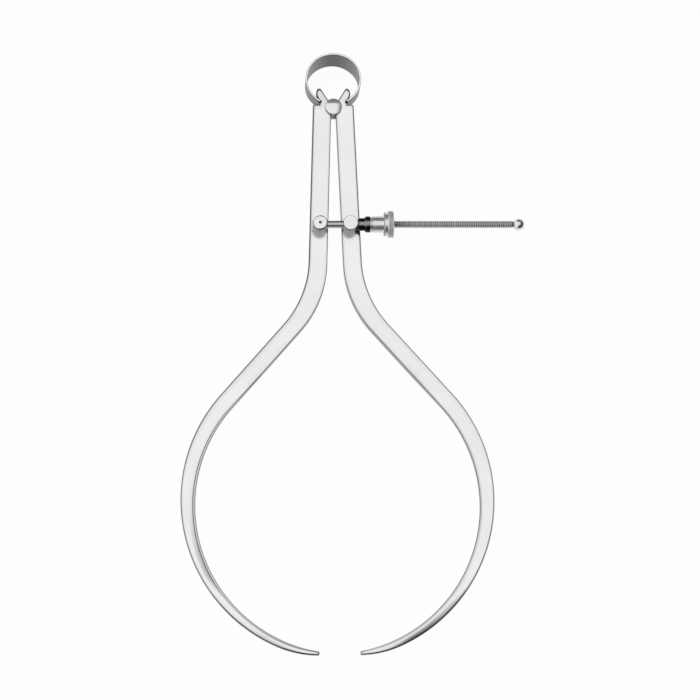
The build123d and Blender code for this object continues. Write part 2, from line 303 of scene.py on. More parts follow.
def plateMesh(loops, half, soft, seeds, uvOf, place):
    # loops: lists of (x, y, edge sizes), the first one the outline
    bm = bmesh.new()
    shade = bm.verts.layers.float.new("shade")
    tops = {1: [], -1: []}
    for loop in loops:
        points = [(x, y) for x, y, edge in loop]
        normals = insetNormals(points)
        profiles = [edgeProfile(half, soft, edge) for x, y, edge in loop]
        count = len(profiles[0])
        rings = []
        for side, order in ((-1, range(count - 1, -1, -1)), (1, range(count))):
            for k in order:
                rings.append([
                    addVert(bm, shade, (x + n[0] * p[k][0], y + n[1] * p[k][0], side * p[k][1]), p[k][2])
                    for (x, y), n, p in zip(points, normals, profiles)])
        for low, high in zip(rings, rings[1:]):
            skin(bm, low, high)
        tops[-1].append(rings[0])
        tops[1].append(rings[-1])
    rims = [[(v.co.x, v.co.y) for v in ring] for ring in tops[1]]

    def onPlate(xy):
        keep = insidePath(rims[0], xy)
        for hole in rims[1:]:
            keep &= ~insidePath(hole, xy)
        return keep
    inner = np.array(seeds)
    inner = inner[onPlate(inner)]
    for rim in rims:
        inner = inner[distanceToPath(rim, inner) > plateMaking["seedGap"]]
    coords, edges = [], []
    for rim in rims:
        start = len(coords)
        coords += rim
        edges += [(start + i, start + (i + 1) % len(rim)) for i in range(len(rim))]
    coords += [tuple(p) for p in inner]
    flat = delaunay_2d_cdt([Vector(c) for c in coords], edges, [], 0, plateMaking["weld"])
    verts2d, faces, origins = flat[0], flat[2], flat[3]
    keep = onPlate(np.array([[sum(verts2d[i][k] for i in f) / 3 for k in (0, 1)] for f in faces]))
    for side in (1, -1):
        ready = [v for ring in tops[side] for v in ring]
        made = []
        for p, source in zip(verts2d, origins):
            onRim = source and source[0] < len(ready)
            made.append(ready[source[0]] if onRim else bm.verts.new((p[0], p[1], side * half)))
        for face, good in zip(faces, keep):
            corners = [made[i] for i in face]
            if good and len(set(corners)) == 3:
                bm.faces.new(corners if side > 0 else corners[::-1])
    bmesh.ops.delete(bm, geom=[v for v in bm.verts if not v.link_faces], context="VERTS")
    bm.verts.index_update()
    uv = uvOf(np.array([[v.co.x, v.co.y] for v in bm.verts]))
    writeGrain(bm, lambda vert: uv[vert.index] + np.array([vert.co.z, 0]))
    for vert in bm.verts:
        vert.co = place(vert.co)
    return bm


def polar(centre, radius, degrees):
    return (centre[0] + radius * math.cos(math.radians(degrees)),
            centre[1] + radius * math.sin(math.radians(degrees)))


def arc(centre, radius, start, end, step):
    # points along an arc, both ends included
    steps = max(2, math.ceil(abs(math.radians(end - start)) * radius / step))
    return [polar(centre, radius, start + (end - start) * k / steps) for k in range(steps + 1)]


def straight(a, b, step):
    steps = max(1, math.ceil(math.dist(a, b) / step))
    return [(a[0] + (b[0] - a[0]) * k / steps, a[1] + (b[1] - a[1]) * k / steps) for k in range(steps + 1)]


def angleTo(a, b):
    return math.degrees(math.atan2(b[1] - a[1], b[0] - a[0]))


def turnedBy(p, degrees, about=(0.0, 0.0)):
    c, s = math.cos(math.radians(degrees)), math.sin(math.radians(degrees))
    x, y = p[0] - about[0], p[1] - about[1]
    return (about[0] + c * x - s * y, about[1] + s * x + c * y)


def trimmed(points, cut):
    # takes a length off the end of a path
    points = list(points)
    while len(points) > 2 and math.dist(points[-1], points[-2]) <= cut:
        cut -= math.dist(points[-1], points[-2])
        points.pop()
    a, b = points[-2], points[-1]
    t = 1 - cut / math.dist(a, b)
    points[-1] = (a[0] + (b[0] - a[0]) * t, a[1] + (b[1] - a[1]) * t)
    return points


joining = {"steps": 9, "reachShare": 0.6, "leastGap": 0.004}


def joined(sections):
    # closed path from sections that meet at corners; each gives its points and its last corner's radius
    count = len(sections)
    parts = [list(s[0]) for s in sections]
    rounds = [[] for s in sections]
    for i, (points, radius) in enumerate(sections):
        if not radius:
            continue
        after = (i + 1) % count
        corner = Vector(parts[i][-1])
        back, ahead = (next(p for p in line if math.dist(p, corner) >= radius * joining["reachShare"])
                       for line in (parts[i][::-1], parts[after]))
        a, b = Vector(back) - corner, Vector(ahead) - corner
        half = a.angle(b) / 2
        cut = radius / math.tan(half)
        parts[i] = trimmed(parts[i], cut)
        parts[after] = trimmed(parts[after][::-1], cut)[::-1]
        centre = corner + (a.normalized() + b.normalized()).normalized() * radius / math.sin(half)
        start, end = angleTo(centre, parts[i][-1]), angleTo(centre, parts[after][0])
        sweep = (end - start + 180) % 360 - 180
        step = radius * math.radians(abs(sweep)) / joining["steps"]
        rounds[i] = arc(centre, radius, start, start + sweep, step)[1:-1]
    path = []
    for p in (p for part, bend in zip(parts, rounds) for p in part + bend):
        if not path or math.dist(p, path[-1]) > joining["leastGap"]:
            path.append(p)
    if math.dist(path[0], path[-1]) < joining["leastGap"]:
        path.pop()
    return path


# Legs

legSizes = {
    "thickness": 3.2, "restAngle": 2.05, "barInner": 0.6, "barOuter": 5.8, "diagonal": 39.3,
    "outerBend": 29.0, "innerBend": 30.0,
    "outerBow": 43.4, "outerBowCentre": (-4.73, -110.92),
    "innerBow": 40.15, "innerBowCentre": (-5.5, -112.4),
    "tipArc": 28.6, "tipThickness": 1.04, "tipHalfGap": 0.03, "tipRound": 0.45,
    "shoulder": 0.75, "shoulderRound": 0.35, "neck": (4.0, 1.95), "bulge": (4.9, 3.4), "hornTip": (4.5, 5.7),
    "hornRound": 0.42, "gapAngle": 33.5, "gapOffset": 0.05,
    "seatPlace": (4.0074, 1.5268), "seatRadius": 0.33,
    "studHole": 1.14, "postHole": 1.24, "postPlace": (2.95, -35.1),
    "edge": 0.3, "seatEdge": 0.1, "seatGrowth": 0.5, "innerEdge": 0.16, "edgeSoft": 0.18,
    "bevelSlope": 1.5, "bevelBlend": 0.25, "tipReach": 1.2,
    "cap": {"reach": 1.4, "width": 0.12, "run": 0.5, "drop": 0.24},  # the horns' ends fall away a little and get painted shade
    "steps": {  # lengths between an outline's points
        "bar": 1.5, "inner": 1.2, "bow": 0.9, "tip": 0.6, "gap": 0.5, "foot": 0.4, "horn": 0.25, "fine": 0.2,
        "seat": 0.06},
    "grainPoints": 260, "grainLead": 6.0, "seedSpacing": 0.85, "seedRows": (-2, -1, 0, 1, 2),
    "sharpAngle": 30,
    # painted shade round the post's hole
    "postHoleEdge": {
        "width": 0.08, "rise": 0.08, "crown": 0.05, "drop": 0.0, "wall": 0.6, "slope": 0.6, "paint": 0.6},
    "shades": {  # how dark the painted shade on the edges is, and how much more so on the left (-1) and the right leg
        "outerTone": {-1: 1.5, 1: 0.75}, "browTone": {-1: 1.3, 1: 0.3}, "browStart": 0.9, "browLength": 40,
        "outerWall": ((15, 35, 75, 90), (0.7, 0.4, 0.4, 0.7)), "innerWall": 1.0, "bevelWallLess": 0.2,
        "innerSlope": 0.8, "bevelSlopeLess": 0.36, "innerPaint": 0.8, "bevelPaintLess": 0.7,
        "studRecess": 0.3},
}
# edges of the bow by the distance from the tip: inner bevel's width, the inner and outer crown's run and
# drop, and how dark the outer edge's painted shade is
bowEdges = (
    (0.0, 0.25, 0.1, 0.01, 0.2, 0.02, 0.8),
    (5.0, 0.48, 0.1, 0.01, 0.75, 0.1, 0.8),
    (10.0, 0.6, 0.12, 0.01, 0.95, 0.2, 0.8),
    (15.0, 0.64, 0.12, 0.02, 1.2, 0.33, 0.8),
    (22.0, 0.62, 0.12, 0.02, 1.4, 0.35, 0.7),
    (29.0, 0.62, 0.3, 0.06, 1.4, 0.28, 0.6),
    (36.0, 0.62, 1.4, 0.4, 0.4, 0.06, 0.5),
    (42.0, 0.62, 1.6, 0.38, 0.4, 0.03, 0.5),
    (55.0, 0.6, 1.4, 0.2, 0.25, 0.02, 0.5),
    (68.0, 0.58, 1.0, 0.12, 0.25, 0.02, 0.5),
    (80.0, 0.5, 0.8, 0.1, 0.2, 0.01, 0.7),
    (92.0, 0.3, 0.2, 0.01, 0.2, 0.01, 0.9),
    (98.0, 0.14, 0.2, 0.01, 0.2, 0.01, 0.9),
)
legLook = {
    "colour": (0.83, 0.83, 0.815), "cloudColour": (0.78, 0.78, 0.765), "shadeColour": (0.1, 0.1, 0.1),
    "cloudSize": 14.0, "markWidth": 0.07, "markLength": 5.0, "roughness": (0.14, 0.22), "markDepth": 0.2,
}


def bentEdge(edge):
    # bar, bend and diagonal of the inner or the outer edge, from the bar down to the bow
    barX, bend = legSizes["bar" + edge.capitalize()], legSizes[edge + "Bend"]
    d = legSizes["diagonal"]
    along = (math.sin(math.radians(d)), -math.cos(math.radians(d)))
    bowStart = polar(legSizes[edge + "BowCentre"], legSizes[edge + "Bow"], d)
    run = (bowStart[0] - barX) / along[0]
    corner = (barX, bowStart[1] - along[1] * run)
    length = bend * math.tan(math.radians(d / 2))
    centre = (barX + bend, corner[1] + length)
    return (barX, corner[1] + length), arc(centre, bend, 180, 180 + d, legSizes["steps"]["bow"]), bowStart


def tangentCentre(centre, radius, through, small):
    between = Vector(through) - Vector(centre)
    reach = radius - small
    along = (reach ** 2 - small ** 2 + between.length ** 2) / (2 * between.length)
    aside = math.sqrt(reach ** 2 - along ** 2)
    unit = between.normalized()
    return tuple(Vector(centre) + unit * along + Vector((-unit.y, unit.x)) * aside)


def seatEdge():
    # round groove in the horn's neck, in which the spring's end turns
    place, radius = legSizes["seatPlace"], legSizes["seatRadius"]
    half = math.degrees(math.acos((legSizes["neck"][0] - place[0]) / radius))
    return arc(place, radius, half, 360 - half, legSizes["steps"]["seat"])


def threePointArc(a, b, c, step):
    square = [x * x + y * y for x, y in (a, b, c)]
    (ax, ay), (bx, by), (cx, cy) = a, b, c
    d = 2 * (ax * (by - cy) + bx * (cy - ay) + cx * (ay - by))
    centre = ((square[0] * (by - cy) + square[1] * (cy - ay) + square[2] * (ay - by)) / d,
              (square[0] * (cx - bx) + square[1] * (ax - cx) + square[2] * (bx - ax)) / d)
    start, end = angleTo(centre, a), angleTo(centre, c)
    sweep = (end - start + 180) % 360 - 180
    return arc(centre, math.dist(centre, a), start, start + sweep, step)


def legPaths(side):
    # outline of the right leg, hinge at the origin, before it is opened to its rest angle
    s, step = legSizes, legSizes["steps"]
    outerStart, outerBend, outerBow = bentEdge("outer")
    innerStart, innerBend, innerBow = bentEdge("inner")
    tipAngle = -math.degrees(math.acos((s["tipHalfGap"] - s["innerBowCentre"][0]) / s["innerBow"]))
    tipInner = polar(s["innerBowCentre"], s["innerBow"], tipAngle)
    tipOuter = (tipInner[0], tipInner[1] - s["tipThickness"])
    tipCentre = tangentCentre(s["outerBowCentre"], s["outerBow"], tipOuter, s["tipArc"])
    bowEnd = angleTo(s["outerBowCentre"], tipCentre)
    shoulder, foot = (s["barOuter"], s["shoulder"]), (s["neck"][0], s["shoulder"])
    slope, offset = math.tan(math.radians(s["gapAngle"])), s["gapOffset"]
    hole, low = s["studHole"], math.sqrt(s["studHole"] ** 2 - s["barInner"] ** 2)
    b = offset * slope / (1 + slope ** 2)
    gapY = -b + math.sqrt(b * b + (hole ** 2 - offset ** 2) / (1 + slope ** 2))
    gapFoot = (offset + gapY * slope, gapY)
    gapEnd = (offset + s["hornTip"][1] * slope, s["hornTip"][1])
    outer = straight(shoulder, outerStart, step["bar"])[:-1] + outerBend
    outer += straight(outerBend[-1], outerBow, step["bar"])[1:-1]
    outer += arc(s["outerBowCentre"], s["outerBow"], s["diagonal"], bowEnd, step["bow"])
    outer += arc(tipCentre, s["tipArc"], bowEnd, angleTo(tipCentre, tipOuter), step["tip"])[1:]
    inner = arc(s["innerBowCentre"], s["innerBow"], tipAngle, s["diagonal"], step["bow"])
    inner += straight(innerBow, innerBend[-1], step["inner"])[1:-1] + innerBend[::-1]
    inner += straight(innerStart, (s["barInner"], -low), step["bar"])[1:]
    studStart, studEnd = angleTo((0, 0), (s["barInner"], -low)), angleTo((0, 0), gapFoot)
    studArc = arc((0, 0), hole, studStart, studEnd, step["fine"])
    horn = threePointArc(s["hornTip"], s["bulge"], s["neck"], step["horn"])
    seat = seatEdge()
    outline = joined([
        (outer, s["tipRound"]),
        (straight(tipOuter, tipInner, step["fine"]), s["tipRound"]),
        (inner, 0), (studArc, 0),
        (straight(gapFoot, gapEnd, step["gap"]), s["hornRound"]),
        (straight(gapEnd, s["hornTip"], step["fine"]), s["hornRound"]),
        (horn + straight(s["neck"], seat[0], step["horn"])[1:], 0),
        (seat, 0),
        (straight(seat[-1], foot, step["fine"]), 0),
        (straight(foot, shoulder, step["foot"]), s["shoulderRound"]),
    ])
    edges = legEdges(outline, outer, inner, side)
    return [(x, y, edge) for (x, y), edge in zip(outline, edges)], outer, inner


def legEdges(outline, outer, inner, side):
    # each point's edge and its painted shade, from its distance from the tip along the inner or the outer
    # edge
    s, cap, shades = legSizes, legSizes["cap"], legSizes["shades"]
    walks = []
    for line in (inner, outer[::-1]):
        walk, far = {line[0]: 0.0}, 0.0
        for p, q in zip(line, line[1:]):
            far += math.dist(p, q)
            walk[q] = far
        walks.append(walk)
    stops, *columns = zip(*bowEdges)
    edges = []
    for p in outline:
        onInner = p in walks[0]
        atTip = math.dist(p, inner[0]) < s["tipReach"]
        away = walks[0].get(p, walks[1].get(p, 0.0 if atTip else stops[-1]))
        bevel, innerRun, innerDrop, outerRun, outerDrop, paint = (
            float(np.interp(away, stops, c)) for c in columns)
        if onInner:
            clean = min(1.0, max(0.0, (bevel - s["innerEdge"]) / s["bevelBlend"]))
            brow = shades["browTone"][side] * (shades["browStart"] - away / shades["browLength"])
            wallLess = shades["bevelWallLess"] * clean * min(1.0, away / shades["browLength"])
            edge = {
                "width": bevel, "rise": bevel * (1 + (s["bevelSlope"] - 1) * clean),
                "crown": innerRun, "drop": innerDrop,
                "wall": shades["innerWall"] - wallLess,
                "slope": shades["innerSlope"] - shades["bevelSlopeLess"] * clean,
                "paint": max(shades["innerPaint"] - shades["bevelPaintLess"] * clean, min(1.0, brow))}
        else:
            capped = max(0.0, 1 - math.dist(p, s["hornTip"]) / cap["reach"])
            width = min(s["edge"], s["seatEdge"] + s["seatGrowth"] * math.dist(p, s["seatPlace"]))
            width += cap["width"] * capped
            dark = max(min(1.0, paint * shades["outerTone"][side]), capped)
            edge = {
                "width": width, "rise": width, "crown": outerRun + cap["run"] * capped,
                "drop": outerDrop + cap["drop"] * capped,
                "wall": float(np.interp(away, *shades["outerWall"])), "slope": dark, "paint": dark}
        # painted shade in the recess round the stud's hole
        if math.hypot(*p) < s["studHole"] + s["seatEdge"]:
            edge.update(wall=0.0, slope=shades["studRecess"], paint=shades["studRecess"])
        edges.append(edge)
    return edges


def grainCoordinates(outer, inner):
    # across and along the leg, measured from its middle line
    def evenly(path):
        p = np.array(path)
        length = np.concatenate([[0], np.cumsum(np.linalg.norm(np.diff(p, axis=0), axis=1))])
        at = np.linspace(0, length[-1], legSizes["grainPoints"])
        return np.stack([np.interp(at, length, p[:, k]) for k in (0, 1)], axis=1)
    middle = (evenly(outer) + evenly(inner[::-1])) / 2
    middle = np.concatenate([[middle[0] + np.array([0.0, legSizes["grainLead"]])], middle])
    steps = np.diff(middle, axis=0)
    length = np.concatenate([[0], np.cumsum(np.linalg.norm(steps, axis=1))])

    def uvOf(xy):
        best = np.full(len(xy), plateMaking["farAway"])
        uv = np.zeros((len(xy), 2))
        for k, (p, d) in enumerate(zip(middle, steps)):
            size = np.linalg.norm(d)
            t = np.clip(((xy - p) @ d) / size ** 2, 0, 1)
            off = xy - (p + t[:, None] * d)
            far = np.linalg.norm(off, axis=1)
            near = far < best
            best = np.where(near, far, best)
            side = (d[0] * off[:, 1] - d[1] * off[:, 0]) / size
            uv[near] = np.stack([side, length[k] + t * size], axis=1)[near]
        return uv
    return middle, uvOf


def legPiece(name, side):
    s = legSizes
    loop, outer, inner = legPaths(side)
    middle, uvOf = grainCoordinates(outer, inner)
    circle = arc(s["postPlace"], s["postHole"], 0, 360, s["steps"]["fine"])[:-1]
    hole = [(x, y, s["postHoleEdge"]) for x, y in circle]
    seeds = []
    for p, q in zip(middle[::2], middle[1::2]):
        d = (q - p) / np.linalg.norm(q - p)
        seeds += [p + np.array([-d[1], d[0]]) * k * s["seedSpacing"] for k in s["seedRows"]]

    def place(co):
        x, y = turnedBy((co.x, co.y), s["restAngle"])
        return Vector((side * x, y + fulcrumY, co.z)) * mm
    piece = newPiece(name, plateMesh([loop, hole], s["thickness"] / 2, s["edgeSoft"], seeds, uvOf, place))
    smoothShade(piece, s["sharpAngle"])
    return piece


legSteel = steel("groundLegSteel", legLook)
for name, side, node in (("leftLegPlate", -1, "left_leg"), ("rightLegPlate", 1, "right_leg")):
    fitPiece(legPiece(name, side), node, node, legSteel)
print("legs made")


# Bow spring, a strip bent to an oval loop, whose width tapers towards its ends

springSizes = {
    "halfWidth": 7.6, "halfHeight": 7.09, "endAngle": 29.75, "thickness": 0.5, "edge": 0.08,
    "width": 9.5, "endWidth": 5.3, "endHeight": -6.54, "fullAbove": 5.0, "taperBlend": 1.6,
    "step": 0.3, "taperSteps": 6, "endSteps": 6, "endLeast": 0.02, "cornerShare": 0.9, "cornerSteps": 4,
    "sharpAngle": 30,
    "notch": (3.9502, -6.0408),  # where the ends sit in the legs
    "keep": 0.688,  # share of the loop's width that is left when the legs are wide open
}
# the strip's own dark faces and bright ground edges; rimShade and innerTopShade are painted shade
springLook = {
    "colour": (0.97, 0.97, 0.96), "cloudColour": (0.85, 0.85, 0.84), "shadeColour": (0.03, 0.03, 0.03),
    "faceShade": 0.85, "innerTopShade": 0.95, "topPower": 6, "rimShade": 0.98, "rimLine": 0.16,
    "cloudSize": 4.0, "markWidth": 0.12, "markLength": 4.0, "roughness": (0.26, 0.42), "markDepth": 0.3,
}


def springPath():
    # middle line of the strip from its left end over the top to the right end: points and outward angles
    s = springSizes
    shift = (s["halfWidth"] - s["halfHeight"]) / (2 - math.sqrt(2))
    side, crown = s["halfWidth"] - shift, s["halfHeight"] + shift
    end = s["endAngle"] - 90
    bends = (((0, shift), crown, 180 - end, 225), ((-shift, 0), side, 225, 135),
             ((0, -shift), crown, 135, 45), ((shift, 0), side, 45, -45), ((0, shift), crown, -45, end))
    path = []
    for centre, radius, first, last in bends:
        steps = math.ceil(math.radians(abs(first - last)) * radius / s["step"])
        angles = [first + (last - first) * k / steps for k in range(steps + 1)]
        path += [(polar(centre, radius, a), a) for a in angles[1 if path else 0:]]
    return path


def springHalfWidth(y):
    s = springSizes
    full, kink, blend = s["width"] / 2, s["fullAbove"], s["taperBlend"]
    slope = (s["width"] - s["endWidth"]) / 2 / (kink - s["endHeight"])
    curve = [(s["endHeight"] - 1, s["endWidth"] / 2 - slope)]
    curve += bezier((kink - blend, full - slope * blend), (kink, full), (kink + blend, full), s["taperSteps"])
    return float(np.interp(y, *zip(*curve)))


def springSection(half, thick, angle):
    # round the strip's section: (offset outwards, height, shade), with shade 0 on the ground front and rear
    # edge, and painted shade along the rounded rims and on the top of the inner face
    s, look = springSizes, springLook
    edge = min(s["edge"], thick * s["cornerShare"])
    corner = bezier((thick, half - edge), (thick, half), (thick - edge, half), s["cornerSteps"])
    quarter = [(thick, half - edge - look["rimLine"], look["faceShade"])]
    quarter += [(o, z, look["rimShade"]) for o, z in corner]
    quarter.append(((thick - edge) * s["cornerShare"], half, 0.0))
    top = quarter + [(-o, z, shade) for o, z, shade in reversed(quarter)]
    ring = top + [(-o, -z, shade) for o, z, shade in top]
    atTop = max(0.0, math.sin(math.radians(angle))) ** look["topPower"]
    more = atTop * (look["innerTopShade"] - look["faceShade"])
    return [(o, z, shade + more if o < 0 and shade == look["faceShade"] else shade) for o, z, shade in ring]


def springPiece(name):
    s = springSizes
    thick = s["thickness"] / 2
    path = springPath()
    stations, walked = [], 0.0
    for k, (point, angle) in enumerate(path):
        walked += math.dist(point, path[k - 1][0]) if k else 0.0
        stations.append((point, angle, thick, walked))
    turns = [math.radians(90 * k / s["endSteps"]) for k in range(1, s["endSteps"] + 1)]
    for first, backwards in ((stations[0], 1), (stations[-1], -1)):
        # the strip's ends are rounded
        (x, y), angle, _, length = first
        a = math.radians(angle + 90 * backwards)
        cap = [((x + math.cos(a) * thick * math.sin(t), y + math.sin(a) * thick * math.sin(t)), angle,
                max(thick * math.cos(t), s["endLeast"]), length - backwards * thick * math.sin(t))
               for t in turns]
        stations = cap[::-1] + stations if backwards == 1 else stations + cap
    bm = bmesh.new()
    shade = bm.verts.layers.float.new("shade")
    grain, rings = {}, []
    for (x, y), angle, half, length in stations:
        c, d = polar((0, 0), 1, angle)
        ring = []
        for offset, z, tint in springSection(springHalfWidth(y), half, angle):
            ring.append(addVert(bm, shade, Vector((x + c * offset, y + d * offset, z)) * mm, tint))
            grain[ring[-1]] = (z + offset, length)
        rings.append(ring)
    for low, high in zip(rings, rings[1:]):
        skin(bm, low, high)
    bm.faces.new(rings[0])
    bm.faces.new(rings[-1][::-1])
    writeGrain(bm, grain.get)
    piece = newPiece(name, bm)
    smoothShade(piece, s["sharpAngle"])
    return piece


spring = springPiece("bowSpringStrip")
fitPiece(spring, "bow_spring", "bow_spring", steel("drawnSpringSteel", springLook))
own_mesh(spring)
print("spring made")


# Turned pieces

turning = {
    "segments": 96, "soft": 0.05, "cornerShare": 0.4, "cornerSteps": 3, "leastBend": 12, "domeSteps": 14,
}
onAxis = 1e-6  # a smaller radius is a point on the axis


def softProfile(points, soft, closed):
    # rounds each corner of a turning profile a little
    out = []
    for i, p in enumerate(points):
        if not closed and i in (0, len(points) - 1):
            out.append(p)
            continue
        a, b, p = Vector(points[i - 1]), Vector(points[(i + 1) % len(points)]), Vector(p)
        if p.y < onAxis or (p - a).angle(b - p, 0) < math.radians(turning["leastBend"]):
            out.append(tuple(p))
            continue
        cut = min(soft, (a - p).length * turning["cornerShare"], (b - p).length * turning["cornerShare"])
        first, last = p + (a - p).normalized() * cut, p + (b - p).normalized() * cut
        out += bezier(first, p, last, turning["cornerSteps"])
    return out


def turnedMesh(points, centre, axis, segments=turning["segments"], soft=turning["soft"], closed=False,
               shadeAt=lambda along, radius, turn: 0.0):
    # points: (distance along the axis, radius); closed for a ring with a bore; shadeAt: how dark each is
    bm = bmesh.new()
    shade = bm.verts.layers.float.new("shade")
    rings = []
    for along, radius in softProfile(points, soft, closed):
        ring = []
        for k in range(1 if radius < onAxis else segments):
            a = 2 * math.pi * k / segments
            c, s = radius * math.cos(a), radius * math.sin(a)
            co = (c, s, along) if axis == upright else (along, c, s)
            ring.append(addVert(bm, shade, (Vector(co) + Vector(centre)) * mm, shadeAt(along, radius, a)))
        rings.append(ring)
    for low, high in zip(rings, rings[1:] + rings[:1] if closed else rings[1:]):
        skin(bm, low, high)
    return bm


def turnedPiece(name, points, centre, axis, cutter=None, sharpAngle=shading["sharpAngle"], **settings):
    piece = newPiece(name, turnedMesh(points, centre, axis, **settings))
    if cutter:
        cutAway(piece, cutter)
    smoothShade(piece, sharpAngle)
    return piece


def rod(radius, start, end, centre, axis, segments=turning["segments"]):
    # a plain cutter for bores
    return newPiece("cutter", turnedMesh([(start, 0), (start, radius), (end, radius), (end, 0)],
                                         centre, axis, segments, soft=0))


def domeProfile(radius, rim, dome):
    # from the rim up to the pole
    ball = (radius ** 2 + dome ** 2) / (2 * dome)
    reach = math.asin(radius / ball)
    turns = [reach * (1 - k / turning["domeSteps"]) for k in range(turning["domeSteps"] + 1)]
    return [(rim + dome - ball + ball * math.cos(t), ball * math.sin(t)) for t in turns]


studSizes = {"waist": 1.1, "head": 2.33, "rim": 0.9, "dome": 0.4, "halfWaist": 1.62, "soft": 0.06,
             "darkRim": 0.13, "segments": 128}
studLook = {
    "colour": (0.8, 0.8, 0.785), "cloudColour": (0.74, 0.74, 0.73), "shadeColour": (0.2, 0.2, 0.2),
    "cloudSize": 3.0, "markWidth": 0.06, "roughness": (0.12, 0.2), "markDepth": 0.12,
    "axis": upright, "centre": (0, fulcrumY, 0),
}


def studPiece(name):
    s = studSizes
    front = [(s["halfWaist"], s["waist"]), (s["halfWaist"], s["head"])]
    front += [(s["halfWaist"] + z, r) for z, r in domeProfile(s["head"], s["rim"], s["dome"])]
    rear = [(-z, r) for z, r in reversed(front)]

    def shadeAt(along, radius, turn):
        # painted shade: a dark ring round the front head's rim
        return float(along > 0 and radius > s["head"] - s["darkRim"])
    return turnedPiece(name, rear + front, (0, fulcrumY, 0), upright, segments=s["segments"], soft=s["soft"],
                       shadeAt=shadeAt)


fitPiece(studPiece("fulcrumSpool"), "fulcrum_stud", "left_leg",
         steel("polishedStudSteel", studLook))
print("fulcrum stud made")


# Posts, washers and the lock pin

postSizes = {
    "radius": 2.05, "foot": 1.62, "top": 6.4, "shank": 1.2, "rear": -2.14, "rivet": 1.65, "rivetHeight": 0.4,
    "screwPostChamfer": 0.3, "nutPostChamfer": 0.08, "screwBore": 1.06, "nutBore": 1.1,
    "boreReach": 4, "boreSegments": 64, "pinHole": 0.4, "pinHoleDepth": 0.5, "pinHoleRing": 0.1,
    "pin": 0.35, "pinSink": 0.15, "pinLength": 3.5, "pinFoot": (0.08, 0.05), "pinTop": (0.1, 0.13),
    "pinSegments": 32, "pinSoft": 0.03,
    "washerRim": 2.0, "washerBore": 1.22, "washerFront": -1.62, "washerRear": -2.12, "washerSoft": 0.07,
    "wallShade": 0.7, "wallSkin": 0.1, "topSkin": 0.04,
}
postLook = {
    "colour": (0.82, 0.82, 0.805), "cloudColour": (0.76, 0.76, 0.75), "shadeColour": (0.08, 0.08, 0.08),
    "cloudSize": 2.5, "markWidth": 0.08, "roughness": (0.18, 0.27), "markDepth": 0.2, "axis": upright,
}


def postProfile(chamfer, hole):
    s = postSizes
    rivet = s["rear"] - s["rivetHeight"]
    points = [(rivet, 0), (rivet, s["rivet"]), (s["rear"], s["rivet"]), (s["rear"], s["shank"]),
              (s["foot"], s["shank"]), (s["foot"], s["radius"]), (s["top"] - chamfer, s["radius"]),
              (s["top"], s["radius"] - chamfer)]
    if not hole:
        return points + [(s["top"], 0)]
    floor = s["top"] - s["pinHoleDepth"]
    return points + [(s["top"], hole + s["pinHoleRing"]), (s["top"], hole), (floor, hole), (floor, 0)]


def postPiece(name, x, chamfer, hole, bore):
    s = postSizes

    def shadeAt(along, radius, turn):
        # painted shade: the wall is darkest at its top, and the pin's hole is dark
        if radius > s["radius"] - s["wallSkin"]:
            height = (along - s["foot"]) / (s["top"] - s["foot"])
            return s["wallShade"] + (1 - s["wallShade"]) * min(1.0, max(0.0, height))
        return float(hole > 0 and s["foot"] < along < s["top"] - s["topSkin"])
    cutter = rod(bore, x - s["boreReach"], x + s["boreReach"], (0, screwY, screwZ), across, s["boreSegments"])
    return turnedPiece(name, postProfile(chamfer, hole), (x, screwY, 0), upright, cutter, shadeAt=shadeAt)


def washerPiece(name, x):
    s = postSizes
    rear, front, rim, bore = (s["washer" + key] for key in ("Rear", "Front", "Rim", "Bore"))
    ring = [(rear, bore), (rear, rim), (front, rim), (front, bore)]
    return turnedPiece(name, ring, (x, screwY, 0), upright, soft=s["washerSoft"], closed=True)


def pinPiece(name):
    s = postSizes
    top = s["top"] - s["pinSink"]
    foot = top - s["pinLength"]
    points = [(foot, 0), (foot, s["pin"] - s["pinFoot"][1]), (foot + s["pinFoot"][0], s["pin"]),
              (top - s["pinTop"][0], s["pin"]), (top, s["pin"] - s["pinTop"][1]), (top, 0)]
    return turnedPiece(name, points, (-postX, screwY, 0), upright, segments=s["pinSegments"],
                       soft=s["pinSoft"])


screwPostSteel = steel("turnedScrewPostSteel", dict(postLook, centre=(-postX, screwY, 0)))
nutPostSteel = steel("turnedNutPostSteel", dict(postLook, centre=(postX, screwY, 0)))
# painted shade: the lock pin is coloured dark like the shade in its hole
pinSteel = steel("darkPinSteel", dict(postLook, centre=(-postX, screwY, 0), colour=(0.2, 0.2, 0.2),
                                      cloudColour=(0.12, 0.12, 0.12)))
fitPiece(postPiece("screwPostTurned", -postX, postSizes["screwPostChamfer"], postSizes["pinHole"],
                   postSizes["screwBore"]), "screw_post", "screw", screwPostSteel)
fitPiece(postPiece("nutPostTurned", postX, postSizes["nutPostChamfer"], 0, postSizes["nutBore"]),
         "nut_post", "nut_post", nutPostSteel)
fitPiece(washerPiece("screwPostRing", -postX), "screw_post_washer", "screw", screwPostSteel)
fitPiece(washerPiece("nutPostRing", postX), "nut_post_washer", "nut_post", nutPostSteel)
fitPiece(pinPiece("lockPinTurned"), "lock_pin", "screw", pinSteel)
print("posts made")


# Adjusting screw with its thread, and the ball on its end

